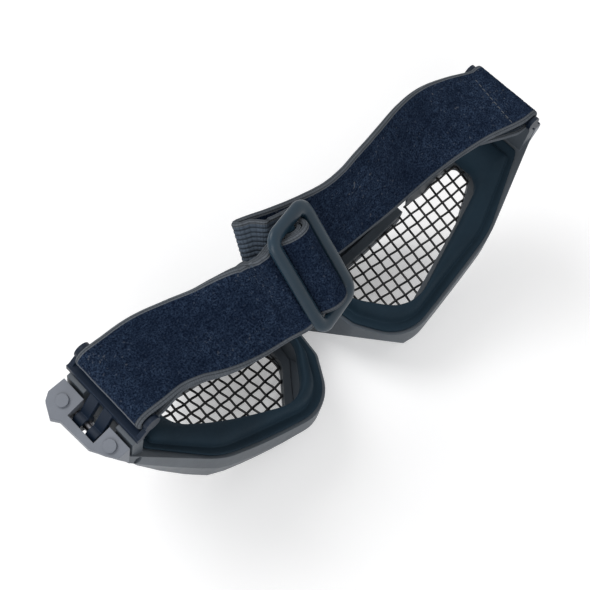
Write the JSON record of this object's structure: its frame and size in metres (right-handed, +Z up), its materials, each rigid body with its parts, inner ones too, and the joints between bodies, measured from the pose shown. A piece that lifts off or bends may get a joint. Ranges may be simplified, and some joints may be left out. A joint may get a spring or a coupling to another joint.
{
  "type": "mesh safety goggles",
  "caption": "Wrap-round safety goggles with woven wire screens, rubber face pads, hinged strap clips and an elastic strap with a slider, lying on the front.",
  "frame": {"origin": "middle of the flat front face of the nose bridge, on which the goggles lie", "axes": "+X towards the wearer's right end, +Y towards the brow, +Z up, towards the wearer's face"},
  "size_m": [0.1908, 0.0473, 0.0971],
  "materials": {
    "frame_plastic": "matt black moulded plastic",
    "bracket_plastic": "matt dark grey moulded plastic",
    "pad_rubber": "soft matt black rubber",
    "screen_wire": "black painted woven steel wire",
    "pin_steel": "dark steel",
    "clip_plastic": "satin black moulded plastic",
    "strap_pile": "dark brushed pile of elastic webbing",
    "strap_rib": "ribbed back of elastic webbing",
    "slider_plastic": "satin dark grey moulded plastic"
  },
  "bodies": {
    "root": {"front_frame": "frame_plastic", "right_band": "strap_pile", "right_tail": "strap_pile", "left_top_band": "strap_pile", "left_return_band": "strap_pile", "middle_band": "strap_rib", "band_fold": "strap_rib", "left_bracket": "bracket_plastic", "left_lug_rivets": "bracket_plastic", "left_retainer": "frame_plastic", "left_face_pad": "pad_rubber", "left_clip_pin": "pin_steel", "left_screen": "screen_wire", "right_bracket": "bracket_plastic", "right_lug_rivets": "bracket_plastic", "right_retainer": "frame_plastic", "right_face_pad": "pad_rubber", "right_clip_pin": "pin_steel", "right_screen": "screen_wire"},
    "left_clip": {"left_clip": "clip_plastic", "left_end_loop": "strap_pile"},
    "right_clip": {"right_clip": "clip_plastic", "right_end_loop": "strap_pile"},
    "slider": {"slider_buckle": "slider_plastic", "slider_band": "strap_pile", "sewn_loop": "strap_pile"}
  },
  "joints": [
    {"name": "left_clip_hinge", "type": "hinge", "parent": "root", "child": "left_clip", "pos_m": [-0.0889, -0.009, 0.0562], "axis": [0, -1, 0], "range_deg": [0, 40]},
    {"name": "right_clip_hinge", "type": "hinge", "parent": "root", "child": "right_clip", "pos_m": [0.0889, -0.009, 0.0562], "axis": [0, 1, 0], "range_deg": [0, 40]},
    {"name": "slider_slide", "type": "slide", "parent": "root", "child": "slider", "axis": [0.9655, 0.2481, -0.0786], "range_m": [0, 0.012]}
  ]
}
